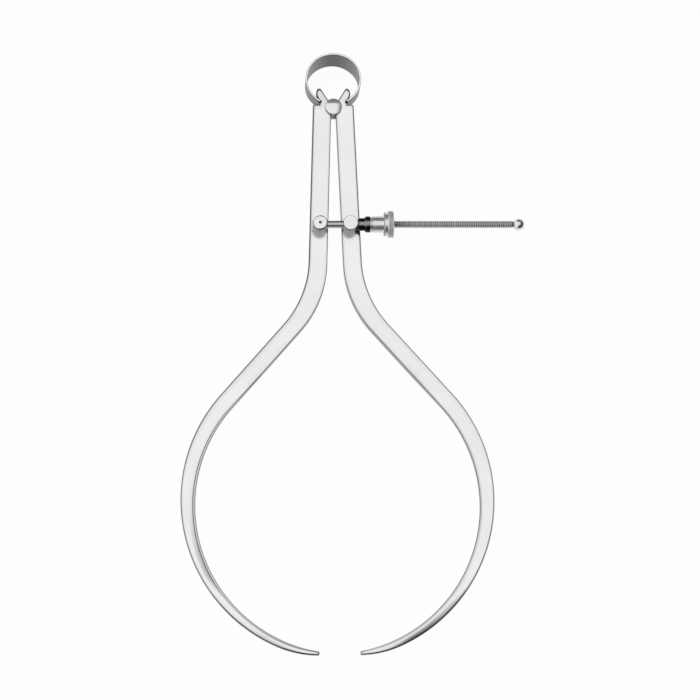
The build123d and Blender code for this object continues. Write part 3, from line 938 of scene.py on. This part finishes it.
screwSizes = {
    "start": -2.3, "shank": 1.05, "shankEnd": 8.1, "chamfer": 0.25, "shankChamfer": 0.1,
    "threadStart": 7.9, "threadEnd": 53.9, "major": 1.03, "minor": 0.87, "pitch": 0.635, "columns": 28,
    "rowsPerTurn": 8, "sharpAngle": 50, "leastEdge": 1e-7,
    "neck": 0.7, "neckStart": 53.6, "end": 55.1, "neckSegments": 48, "neckSoft": 0.03,
    "ball": 1.68, "ballAt": 55.5, "ballFlat": 0.2, "ballBoreEnd": -0.35, "ballFit": 0.01, "ballSteps": 40,
    "rootShare": 0.07, "crestShare": 0.36,  # where the thread's flank starts and ends, in shares of a turn
    "runOutShare": 0.8, "weld": 0.002,
}
screwLook = {
    "colour": (0.62, 0.62, 0.61), "cloudColour": (0.5, 0.5, 0.495), "shadeColour": (0.2, 0.2, 0.2),
    "cloudSize": 5.0, "markWidth": 0.08, "roughness": (0.2, 0.32), "markDepth": 0.2,
    "axis": across, "centre": (0, screwY, screwZ),
}


def groupInputs(tree, sockets):
    tree.interface.new_socket("Geometry", in_out="INPUT", socket_type="NodeSocketGeometry")
    for label, value in sockets.items():
        kind = "NodeSocketMaterial" if value is None else (
            "NodeSocketInt" if isinstance(value, int) else "NodeSocketFloat")
        tree.interface.new_socket(label, in_out="INPUT", socket_type=kind)
    tree.interface.new_socket("Geometry", in_out="OUTPUT", socket_type="NodeSocketGeometry")
    return tree.nodes.new("NodeGroupInput").outputs, tree.nodes.new("NodeGroupOutput")


def runTree(piece, tree, values):
    # sets the tree's named inputs on the piece, then keeps the result as its plain mesh
    modifier = piece.modifiers.new(tree.name, "NODES")
    modifier.node_group = tree
    for item in tree.interface.items_tree:
        if item.in_out == "INPUT" and item.name in values:
            modifier[item.identifier] = values[item.name]
    applyModifiers(piece)


def storeShade(tree, geometry, value):
    return nodeOut(tree, "GeometryNodeStoreNamedAttribute", {
        "Geometry": geometry, "Name": "shade", "Value": value}, data_type="FLOAT", domain="POINT")


def endTree(tree, geometry, material, out):
    real = nodeOut(tree, "GeometryNodeRealizeInstances", {"Geometry": geometry})
    done = nodeOut(tree, "GeometryNodeSetMaterial", {"Geometry": real, "Material": material})
    tree.links.new(done, out.inputs[0])
    return tree


def threadTree():
    # a sheet wound round the axis along the helix, so that crests and roots follow its rows; the roots get
    # painted shade
    tree = bpy.data.node_groups.new("cutThread", "GeometryNodeTree")
    sizes, out = groupInputs(tree, {
        "Length": 1.0, "Pitch": 1.0, "Major Radius": 1.0, "Minor Radius": 1.0, "Columns": 1,
        "Rows per Turn": 1, "Root": 0.0, "Crest": 1.0, "Run-out": 1.0,
        "Start X": 0.0, "Centre Y": 0.0, "Centre Z": 0.0, "Weld": 0.0, "Material": None})
    length, pitch = sizes["Length"], sizes["Pitch"]
    turns = calc(tree, "ADD", calc(tree, "DIVIDE", length, pitch), 1.0)
    rows = calc(tree, "CEIL", calc(tree, "MULTIPLY", turns, sizes["Rows per Turn"]))
    run = calc(tree, "DIVIDE", calc(tree, "MULTIPLY", rows, pitch), sizes["Rows per Turn"])
    sheet = nodeOut(tree, "GeometryNodeMeshGrid", {
        "Size X": 1.0, "Size Y": 1.0, "Vertices X": calc(tree, "ADD", rows, 1.0),
        "Vertices Y": calc(tree, "ADD", sizes["Columns"], 1.0)})
    at = splitVector(tree, nodeOut(tree, "GeometryNodeInputPosition"))
    u, v = calc(tree, "ADD", at[0], 0.5), calc(tree, "ADD", at[1], 0.5)
    wound = calc(tree, "MULTIPLY", u, run)
    x = calc(tree, "SUBTRACT", calc(tree, "MULTIPLY_ADD", v, pitch, wound), pitch)
    x = calc(tree, "MINIMUM", calc(tree, "MAXIMUM", x, 0.0), length)
    wave = calc(tree, "PINGPONG", calc(tree, "DIVIDE", wound, pitch), 0.5)
    flank = mapRange(tree, wave, sizes["Root"], sizes["Crest"])
    near = calc(tree, "MINIMUM", x, calc(tree, "SUBTRACT", length, x))
    runOut = mapRange(tree, near, 0.0, calc(tree, "MULTIPLY", pitch, sizes["Run-out"]))
    height = calc(tree, "MULTIPLY", flank, runOut)
    depth = calc(tree, "SUBTRACT", sizes["Major Radius"], sizes["Minor Radius"])
    radius = calc(tree, "MULTIPLY_ADD", height, depth, sizes["Minor Radius"])
    angle = calc(tree, "MULTIPLY", v, 2 * math.pi)
    y = calc(tree, "MULTIPLY_ADD", calc(tree, "COSINE", angle), radius, sizes["Centre Y"])
    z = calc(tree, "MULTIPLY_ADD", calc(tree, "SINE", angle), radius, sizes["Centre Z"])
    place = joinVector(tree, calc(tree, "ADD", x, sizes["Start X"]), y, z)
    # painted shade: the thread's roots are darker
    marked = storeShade(tree, sheet, calc(tree, "SUBTRACT", 1.0, height))
    parts = [nodeOut(tree, "GeometryNodeSetPosition", {"Geometry": marked, "Position": place})]
    disc = nodeOut(tree, "GeometryNodeMeshCircle", {
        "Vertices": sizes["Columns"], "Radius": sizes["Minor Radius"]}, fill_type="NGON")
    for end in (0.0, length):
        place = joinVector(tree, *(calc(tree, "ADD", value, sizes[centre]) for value, centre in (
            (end, "Start X"), (at[0], "Centre Y"), (at[1], "Centre Z"))))
        parts.append(nodeOut(tree, "GeometryNodeSetPosition", {"Geometry": disc, "Position": place}))
    joiner = addNode(tree, "GeometryNodeJoinGeometry")
    for part in parts:
        tree.links.new(part, joiner.inputs[0])
    welded = nodeOut(tree, "GeometryNodeMergeByDistance", {
        "Geometry": joiner.outputs[0], "Distance": sizes["Weld"]})
    return endTree(tree, welded, sizes["Material"], out)


def screwPiece(name, material):
    s = screwSizes
    centre = (-postX, screwY, screwZ)
    chamfer, small = s["chamfer"], s["shankChamfer"]
    start, end = s["start"], s["shankEnd"]
    shank = turnedPiece(name, [
        (start, 0), (start, s["shank"] - chamfer), (start + chamfer, s["shank"]),
        (end - small, s["shank"]), (end, s["shank"] - small), (end, 0)], centre, across)
    neck = turnedPiece("neck", [
        (s["neckStart"], 0), (s["neckStart"], s["neck"]), (s["end"], s["neck"]), (s["end"], 0)],
        centre, across, segments=s["neckSegments"], soft=s["neckSoft"])
    thread = newPiece("thread", bmesh.new())
    runTree(thread, threadTree(), {
        "Length": (s["threadEnd"] - s["threadStart"]) * mm, "Pitch": s["pitch"] * mm,
        "Major Radius": s["major"] * mm, "Minor Radius": s["minor"] * mm, "Columns": s["columns"],
        "Rows per Turn": s["rowsPerTurn"], "Root": s["rootShare"], "Crest": s["crestShare"],
        "Run-out": s["runOutShare"], "Start X": (s["threadStart"] - postX) * mm, "Centre Y": screwY * mm,
        "Centre Z": screwZ * mm, "Weld": s["weld"] * mm, "Material": material})
    bm = bmesh.new()
    bm.from_mesh(thread.data)
    bmesh.ops.dissolve_degenerate(bm, edges=bm.edges, dist=s["leastEdge"])
    bmesh.ops.recalc_face_normals(bm, faces=bm.faces)
    bm.to_mesh(thread.data)
    bm.free()
    thread.data.shade_smooth()
    thread.data.set_sharp_from_angle(angle=math.radians(s["sharpAngle"]))
    return joinPieces([shank, neck, thread])


screwSteel = steel("cutScrewSteel", screwLook)
fitPiece(screwPiece("adjustingScrewThreaded", screwSteel), "adjusting_screw", "screw",
         screwSteel)

ballLook = dict(screwLook, colour=(0.78, 0.78, 0.77), cloudColour=(0.7, 0.7, 0.69), roughness=(0.1, 0.18),
                markDepth=0.1)


def ballPiece(name):
    s = screwSizes
    flat, bore = s["ball"] - s["ballFlat"], s["neck"] + s["ballFit"]
    first = math.acos(-flat / s["ball"])
    turns = [first * (1 - k / s["ballSteps"]) for k in range(s["ballSteps"] + 1)]
    points = [(s["ballBoreEnd"], 0), (s["ballBoreEnd"], bore), (-flat, bore)]
    points += [(s["ball"] * math.cos(t), s["ball"] * math.sin(t)) for t in turns]
    return turnedPiece(name, points, (s["ballAt"] - postX, screwY, screwZ), across, soft=s["neckSoft"])


fitPiece(ballPiece("stopBallPolished"), "stop_ball", "screw",
         steel("polishedBallSteel", ballLook))
print("screw made")


# Nut: black ferrule on the post, split nut, and the sleeve with its knurled flange

ferruleSizes = {
    "start": 1.5, "boss": 1.45, "nose": 2.3, "noseRadius": 1.78, "flareStart": 3.85, "flareEnd": 4.4,
    "end": 5.42, "rim": 2.28, "bore": 1.2, "coneStart": 2.9, "cone": 1.9, "soft": 0.12,
    "saddle": 2.07, "saddleReach": (-2, 9),  # the post's radius is cut out of its nose
    "highlightAt": 97.0, "highlightEdge": (9.0, 27.0),
}
# the look's colour is the painted highlight band, shadeColour the black finish
ferruleLook = {
    "colour": (0.3, 0.3, 0.305), "cloudColour": (0.24, 0.24, 0.245), "shadeColour": (0.018, 0.018, 0.019),
    "cloudSize": 1.5, "markWidth": 0.1, "roughness": (0.14, 0.22), "markDepth": 0.2,
    "axis": across, "centre": (0, screwY, screwZ),
}


def ferrulePiece(name):
    s = ferruleSizes
    points = [(s["start"], s["bore"]), (s["start"], s["boss"]), (s["nose"], s["boss"]),
              (s["nose"], s["noseRadius"]), (s["flareStart"], s["noseRadius"]), (s["flareEnd"], s["rim"]),
              (s["end"], s["rim"]), (s["end"], s["cone"]), (s["coneStart"], s["bore"])]

    def shadeAt(along, radius, turn):
        # painted highlight: the black finish is lighter in a band along the front
        away = abs((math.degrees(turn) - s["highlightAt"] + 180) % 360 - 180)
        return float(np.interp(away, s["highlightEdge"], (0.0, 1.0)))
    cutter = rod(s["saddle"], *s["saddleReach"], (postX, screwY, 0), upright)
    return turnedPiece(name, points, (postX, screwY, screwZ), across, cutter, soft=s["soft"], closed=True,
                       shadeAt=shadeAt)


fitPiece(ferrulePiece("nutFerruleBlack"), "nut_ferrule", "nut_post",
         steel("blackOxideFinish", ferruleLook))

nutSizes = {
    "bore": 1.08, "nose": 3.2, "noseRadius": 1.22, "noseEnd": 5.46, "coneRadius": 1.86, "collar": 2.15,
    "collarEnd": 5.98, "body": 1.62, "end": 11.9, "soft": 0.06,
    "slot": 0.35, "slotStart": 2.2, "slotEnd": 8.6, "slotReach": 8,
    "sleeveStart": 6.1, "sleeve": 2.28, "sleeveEnd": 9.3, "step": 3.37, "stepEnd": 10.35, "flange": 3.74,
    "flangeEnd": 12.05, "chamfer": 0.25, "sleeveFit": 0.01, "sleeveSharpAngle": 50,
    "stepShade": 0.7, "stepLine": 0.03,  # a line of painted shade where the step begins
}
nutLook = {
    "colour": (0.76, 0.76, 0.75), "cloudColour": (0.67, 0.67, 0.665), "shadeColour": (0.16, 0.16, 0.155),
    "cloudSize": 2.5, "markWidth": 0.09, "roughness": (0.2, 0.3), "markDepth": 0.35,
    "axis": across, "centre": (0, screwY, screwZ),
}
knurlSizes = {
    "around": 46, "across": 2.5, "depth": 0.14, "shade": 0.38, "columnsEach": 8, "rows": 22,
    "wholeTurns": 8.0, "skin": 0.01, "endSlack": 0.001,  # keep the waves positive and on the rim only
}


def splitNutPiece(name):
    s = nutSizes
    points = [(s["nose"], s["bore"]), (s["nose"], s["noseRadius"]), (s["noseEnd"], s["coneRadius"]),
              (s["noseEnd"], s["collar"]), (s["collarEnd"], s["collar"]), (s["collarEnd"], s["body"]),
              (s["end"], s["body"]), (s["end"], s["bore"])]
    slot = bmesh.new()
    bmesh.ops.create_cube(slot, size=1.0)
    for vert in slot.verts:
        vert.co = Vector(((vert.co.x + 0.5) * (s["slotEnd"] - s["slotStart"]) + s["slotStart"] + postX,
                          vert.co.y * s["slotReach"] + screwY, vert.co.z * s["slot"] + screwZ)) * mm
    return turnedPiece(name, points, (postX, screwY, screwZ), across, newPiece("cutter", slot),
                       soft=s["soft"], closed=True)


def knurlTree():
    # presses crossed grooves into the flange's rim and paints shade into them
    tree = bpy.data.node_groups.new("diamondKnurl", "GeometryNodeTree")
    sizes, out = groupInputs(tree, {
        "Rim Radius": 1.0, "Rim Start": 0.0, "Rim End": 1.0, "Diamonds Around": 1, "Diamonds Across": 1.0,
        "Depth": 0.0, "Groove Shade": 1.0, "Centre Y": 0.0, "Centre Z": 0.0, "Material": None})
    at = splitVector(tree, nodeOut(tree, "GeometryNodeInputPosition"))
    y, z = calc(tree, "SUBTRACT", at[1], sizes["Centre Y"]), calc(tree, "SUBTRACT", at[2], sizes["Centre Z"])
    outward = joinVector(tree, 0.0, y, z)
    radius = nodeOut(tree, "ShaderNodeVectorMath", {0: outward}, "Value", operation="LENGTH")
    turn = calc(tree, "DIVIDE", calc(tree, "ARCTAN2", z, y), 2 * math.pi)
    around = calc(tree, "MULTIPLY", calc(tree, "ADD", turn, 1.0), sizes["Diamonds Around"])
    width = calc(tree, "SUBTRACT", sizes["Rim End"], sizes["Rim Start"])
    share = calc(tree, "DIVIDE", calc(tree, "SUBTRACT", at[0], sizes["Rim Start"]), width)
    along = calc(tree, "MULTIPLY", share, sizes["Diamonds Across"])
    one = calc(tree, "PINGPONG", calc(tree, "ADD", along, around), 0.5)
    backwards = calc(tree, "ADD", calc(tree, "SUBTRACT", around, along), knurlSizes["wholeTurns"])
    other = calc(tree, "PINGPONG", backwards, 0.5)
    groove = calc(tree, "SUBTRACT", 1.0, calc(tree, "MULTIPLY", calc(tree, "MINIMUM", one, other), 2.0))
    inside = calc(tree, "SUBTRACT", sizes["Rim Radius"], knurlSizes["skin"] * mm)
    onRim = calc(tree, "GREATER_THAN", radius, inside)
    edge = calc(tree, "MINIMUM", share, calc(tree, "SUBTRACT", 1.0, share))
    inRim = calc(tree, "GREATER_THAN", edge, -knurlSizes["endSlack"])
    pressed = calc(tree, "MULTIPLY", groove, calc(tree, "MULTIPLY", onRim, inRim))
    push = calc(tree, "MULTIPLY", pressed, calc(tree, "MULTIPLY", sizes["Depth"], -1.0))
    unit = nodeOut(tree, "ShaderNodeVectorMath", {0: outward}, operation="NORMALIZE")
    offset = nodeOut(tree, "ShaderNodeVectorMath", {0: unit, "Scale": push}, operation="SCALE")
    # painted shade in the grooves
    before = nodeOut(tree, "GeometryNodeInputNamedAttribute", {"Name": "shade"})
    shade = calc(tree, "MAXIMUM", before, calc(tree, "MULTIPLY", pressed, sizes["Groove Shade"]))
    marked = storeShade(tree, sizes["Geometry"], shade)
    moved = nodeOut(tree, "GeometryNodeSetPosition", {"Geometry": marked, "Offset": offset})
    return endTree(tree, moved, sizes["Material"], out)


def sleevePiece(name, material):
    s, k = nutSizes, knurlSizes
    chamfer, bore = s["chamfer"], s["body"] + s["sleeveFit"]
    rimStart, rimEnd = s["stepEnd"] + chamfer, s["flangeEnd"] - chamfer
    points = [(s["sleeveStart"], bore), (s["sleeveStart"], s["sleeve"]), (s["sleeveEnd"], s["sleeve"]),
              (s["sleeveEnd"], s["step"] - chamfer), (s["sleeveEnd"] + chamfer, s["step"]),
              (s["stepEnd"], s["step"]), (s["stepEnd"], s["flange"] - chamfer)]
    points += [(rimStart + (rimEnd - rimStart) * i / k["rows"], s["flange"]) for i in range(k["rows"] + 1)]
    points += [(s["flangeEnd"], s["flange"] - chamfer), (s["flangeEnd"], bore)]

    def shadeAt(along, radius, turn):
        # painted shade along the step's corner
        onLine = s["sleeveEnd"] - s["sleeveFit"] < along < s["sleeveEnd"] + chamfer - s["stepLine"]
        return s["stepShade"] if onLine else 0.0
    piece = newPiece(name, turnedMesh(points, (postX, screwY, screwZ), across, k["around"] * k["columnsEach"],
                                      closed=True, shadeAt=shadeAt))
    runTree(piece, knurlTree(), {
        "Rim Radius": s["flange"] * mm, "Rim Start": (rimStart + postX) * mm,
        "Rim End": (rimEnd + postX) * mm, "Diamonds Around": k["around"], "Diamonds Across": k["across"],
        "Depth": k["depth"] * mm, "Groove Shade": k["shade"], "Centre Y": screwY * mm,
        "Centre Z": screwZ * mm, "Material": material})
    smoothShade(piece, s["sleeveSharpAngle"])
    return piece


nutSteel = steel("turnedNutSteel", nutLook)
fitPiece(splitNutPiece("splitNutTurned"), "split_nut", "nut", nutSteel)
fitPiece(sleevePiece("nutSleeveKnurled", nutSteel), "nut_sleeve", "nut", nutSteel)
print("nut made")


# Floor, light and camera

stageLook = {
    "floorSize": 4.0, "floorHeight": -4.77, "floorColour": (0.9, 0.9, 0.9), "cameraWhite": 0.965,
    "glossWhite": 0.85,
    "ceiling": 1.05, "backWall": 0.25, "dark": 0.08,
    "backEdge": (0.5, 0.58), "backEnd": (0.86, 0.95), "backLeft": (-0.5, -0.3),
    "rightEdge": (0.2, 0.72), "frontEdge": (-0.93, -0.84),
    "tripodX": (0.15, 0.35), "tripodY": (-0.62, -0.3), "tripodGrey": 0.08,
    "flag": (0.62, -0.74, 0.55), "flagEdge": (0.72, 0.95), "flagGrey": 0.05,
}
lampLook = {"place": (-300.0, -450.0, 350.0), "aim": (0.0, -70.0, 0.0), "size": 400.0, "power": 0.5}
cameraLook = {"place": (-23.05, -179.01, 497.6), "target": (3.75, -77.81, 1.6), "lens": 94.6, "roll": -0.8,
              "sensor": 36.0, "clip": (0.01, 10.0)}


def makeFloor():
    s = stageLook
    bm = bmesh.new()
    bmesh.ops.create_grid(bm, x_segments=1, y_segments=1, size=s["floorSize"] / 2)
    for vert in bm.verts:
        vert.co.z = s["floorHeight"] * mm
    floor = newPiece("floor", bm)
    material = bpy.data.materials.new("paleFloor")
    material.use_nodes = True
    tree = material.node_tree
    tree.nodes.clear()
    path = addNode(tree, "ShaderNodeLightPath").outputs
    mirrored = calc(tree, "MAXIMUM", path["Is Glossy Ray"], path["Is Transmission Ray"])
    share = calc(tree, "ADD", calc(tree, "MULTIPLY", path["Is Camera Ray"], s["cameraWhite"]),
                 calc(tree, "MULTIPLY", mirrored, s["glossWhite"]))
    lit = nodeOut(tree, "ShaderNodeBsdfDiffuse", {"Color": (*s["floorColour"], 1)})
    white = nodeOut(tree, "ShaderNodeEmission", {"Color": (1, 1, 1, 1), "Strength": 1.0})
    mixed = nodeOut(tree, "ShaderNodeMixShader", {0: share, 1: lit, 2: white})
    addNode(tree, "ShaderNodeOutputMaterial", {"Surface": mixed}, is_active_output=True)
    floor.data.materials.append(material)


def makeWorld():
    # a white ceiling that comes down to the left, a grey wall behind it, dark openings right and in front,
    # and the camera's dark stand
    s = stageLook
    world = bpy.data.worlds.new("studio")
    bpy.context.scene.world = world
    world.use_nodes = True
    tree = world.node_tree
    tree.nodes.clear()
    direction = nodeOut(tree, "ShaderNodeTexCoord", socket="Generated")
    x, y = splitVector(tree, direction)[:2]

    def ramp(value, edges, low, high):
        return mapRange(tree, value, *edges, low, high, interpolation_type="SMOOTHSTEP")
    ceiling, dark = s["ceiling"], s["dark"]
    room = ramp(y, s["backEdge"], ceiling, s["backWall"])
    room = calc(tree, "MINIMUM", room, ramp(y, s["backEnd"], ceiling, dark))
    room = calc(tree, "MAXIMUM", room, ramp(x, s["backLeft"], ceiling, dark))
    aside = nodeOut(tree, "ShaderNodeVectorMath", {
        0: direction, 1: Vector(s["flag"]).normalized()}, "Value", operation="DOT_PRODUCT")
    beside = ramp(calc(tree, "ABSOLUTE", x), s["tripodX"], s["tripodGrey"], ceiling)
    tripod = calc(tree, "MAXIMUM", beside, ramp(y, s["tripodY"], s["tripodGrey"], ceiling))
    for wall in (ramp(x, s["rightEdge"], ceiling, dark), ramp(y, s["frontEdge"], dark, ceiling),
                 ramp(aside, s["flagEdge"], ceiling, s["flagGrey"]), tripod):
        room = calc(tree, "MINIMUM", room, wall)
    seen = nodeOut(tree, "ShaderNodeLightPath", socket="Is Camera Ray")
    strength = nodeOut(tree, "ShaderNodeMix", {0: seen, 2: room, 3: 1.0}, data_type="FLOAT")
    light = nodeOut(tree, "ShaderNodeBackground", {"Color": (1, 1, 1, 1), "Strength": strength})
    addNode(tree, "ShaderNodeOutputWorld", {"Surface": light})


def makeLamp():
    s = lampLook
    lamp = bpy.data.lights.new("softLamp", "AREA")
    lamp.shape, lamp.size, lamp.energy = "DISK", s["size"] * mm, s["power"]
    holder = bpy.data.objects.new("softLamp", lamp)
    holder.location = Vector(s["place"]) * mm
    holder.rotation_euler = (Vector(s["aim"]) - Vector(s["place"])).to_track_quat("-Z", "Y").to_euler()
    holder.visible_glossy = False  # the steel mirrors the room, the lamp only casts the shadow
    bpy.context.scene.collection.objects.link(holder)


def makeCamera():
    s = cameraLook
    camera = bpy.data.cameras.new("camera")
    camera.lens, camera.sensor_width = s["lens"], s["sensor"]
    camera.clip_start, camera.clip_end = s["clip"]
    holder = bpy.data.objects.new("camera", camera)
    back = (Vector(s["place"]) - Vector(s["target"])).normalized()
    right = Vector((0, 1, 0)).cross(back).normalized()
    up = back.cross(right)
    roll = math.radians(s["roll"])
    rolledRight = right * math.cos(roll) + up * math.sin(roll)
    rolledUp = up * math.cos(roll) - right * math.sin(roll)
    turn = Matrix((rolledRight, rolledUp, back)).transposed().to_4x4()
    holder.matrix_world = Matrix.Translation(Vector(s["place"]) * mm) @ turn
    bpy.context.scene.collection.objects.link(holder)
    bpy.context.scene.camera = holder


makeFloor()
makeWorld()
makeLamp()
makeCamera()
bpy.context.scene.view_settings.view_transform = "Standard"
print("stage set")
